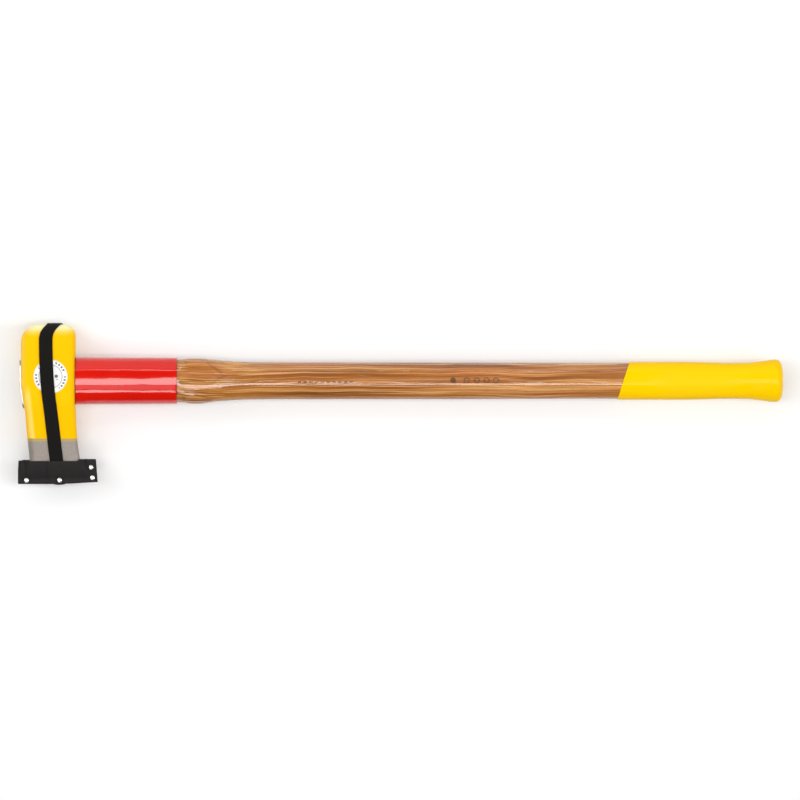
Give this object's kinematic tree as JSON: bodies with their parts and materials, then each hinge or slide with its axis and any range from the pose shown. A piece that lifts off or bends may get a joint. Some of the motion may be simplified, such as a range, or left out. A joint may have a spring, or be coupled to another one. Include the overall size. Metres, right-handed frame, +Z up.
{
  "type": "splitting maul",
  "caption": "Splitting maul lying on its cheek: steel head on a long wooden handle with a steel protective sleeve, safety plate, coated grip end and strapped-on edge guard.",
  "frame": {"origin": "middle of the bounding box in X and Y, at its lowest point in Z, with the maul lying on one cheek", "axes": "+X along the handle from the head to the knob, +Y across it towards the poll, +Z up out of the upper cheek"},
  "size_m": [0.9018, 0.1921, 0.0589],
  "materials": {
    "yellow_paint": "satin",
    "hickory": "gloss",
    "red_paint": "gloss",
    "plate_steel": "satin",
    "screw_steel": "polished",
    "wedge_wood": "matte",
    "grip_dip": "gloss",
    "label_film": "satin",
    "black_leather": "satin",
    "elastic_webbing": "matte",
    "rivet_nickel": "polished"
  },
  "bodies": {
    "maul": {"maul_head": "yellow_paint", "handle": "hickory", "protective_sleeve": "red_paint", "safety_plate": "plate_steel", "plate_screw": "screw_steel", "eye_wedge": "wedge_wood", "grip_coating": "grip_dip", "cheek_label": "label_film", "elastic_strap": "elastic_webbing"},
    "guard": {"edge_guard": "black_leather", "rivet_1_cap": "rivet_nickel", "rivet_1_post": "rivet_nickel", "rivet_2_cap": "rivet_nickel", "rivet_2_post": "rivet_nickel", "rivet_3_cap": "rivet_nickel", "rivet_3_post": "rivet_nickel", "rivet_4_cap": "rivet_nickel", "rivet_4_post": "rivet_nickel"}
  },
  "joints": [
    {"name": "guard_pull", "type": "slide", "parent": "maul", "child": "guard", "axis": [0, -1, 0], "range_m": [0, 0.035], "stiffness_N_per_m": 300, "deforming": ["elastic_strap"]}
  ]
}
